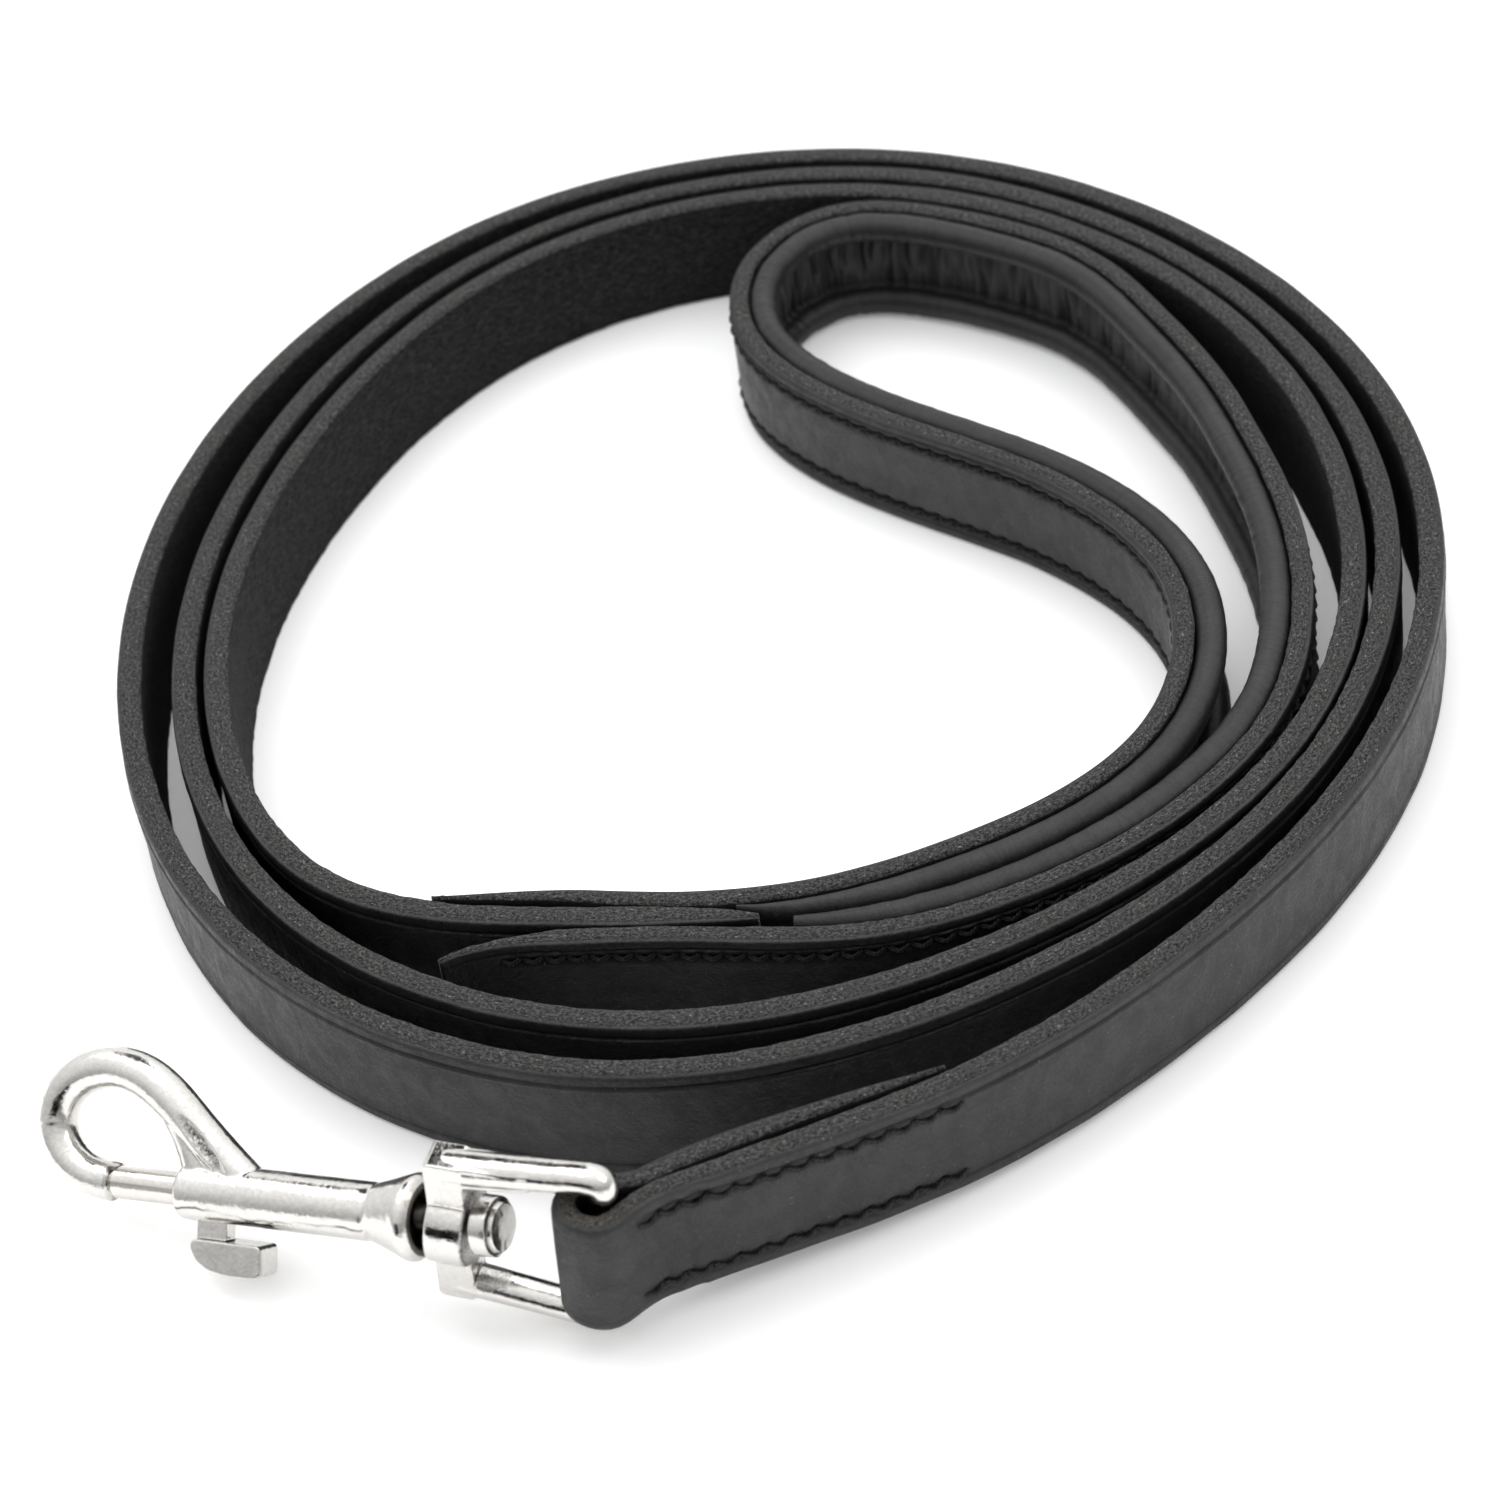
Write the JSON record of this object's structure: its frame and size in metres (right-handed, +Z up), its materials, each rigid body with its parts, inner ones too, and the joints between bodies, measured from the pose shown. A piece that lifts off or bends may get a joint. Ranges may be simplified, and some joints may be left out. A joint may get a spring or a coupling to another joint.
{
  "type": "leather lead rein",
  "caption": "Leather lead rein lying coiled on edge, with a swivel bolt snap sewn into one end and a padded, lined hand loop at the other.",
  "frame": {"origin": "middle of the footprint, on the surface the coil stands on", "axes": "+Z up, the edge of the strap vertical; -Y towards the sewn snap end; the snap points to -X"},
  "size_m": [0.222, 0.2554, 0.0308],
  "materials": {
    "bridle_leather": "waxed grain, raw flesh side and raw edges",
    "soft_leather": "soft, matt",
    "cord": "twisted cotton",
    "thread": "waxed",
    "plated_casting": "bright plated casting",
    "plated_steel": "bright plated",
    "spring_steel": "drawn wire"
  },
  "bodies": {
    "lead": {"lead_strap": "bridle_leather", "handle_strap": "bridle_leather", "handle_lining": "soft_leather", "upper_edge_cord": "cord", "lower_edge_cord": "cord", "snap_end_stitching_upper": "thread", "snap_end_stitching_lower": "thread", "handle_stitching_upper": "thread", "handle_stitching_lower": "thread"},
    "eye": {"swivel_eye": "plated_casting"},
    "snap": {"snap_body": "plated_casting", "swivel_rivet": "plated_casting", "bolt_spring": "spring_steel"},
    "bolt": {"snap_bolt": "plated_steel", "thumb_button": "plated_casting"}
  },
  "joints": [
    {"name": "eye_pivot", "type": "hinge", "parent": "lead", "child": "eye", "pos_m": [-0.03204, -0.12145, 0.01544], "axis": [0.0764, 0.0176, 0.9969], "range_deg": [-8, 90]},
    {"name": "snap_swivel", "type": "hinge", "parent": "eye", "child": "snap", "pos_m": [-0.05147, -0.1136, 0.01679], "axis": [-0.8721, 0.4637, -0.1564], "continuous": true},
    {"name": "bolt_slide", "type": "slide", "parent": "snap", "child": "bolt", "axis": [0.8721, -0.4637, 0.1564], "range_m": [0, 0.009], "stiffness_N_per_m": 1200, "springref_m": -0.005, "deforming": ["bolt_spring"]}
  ]
}
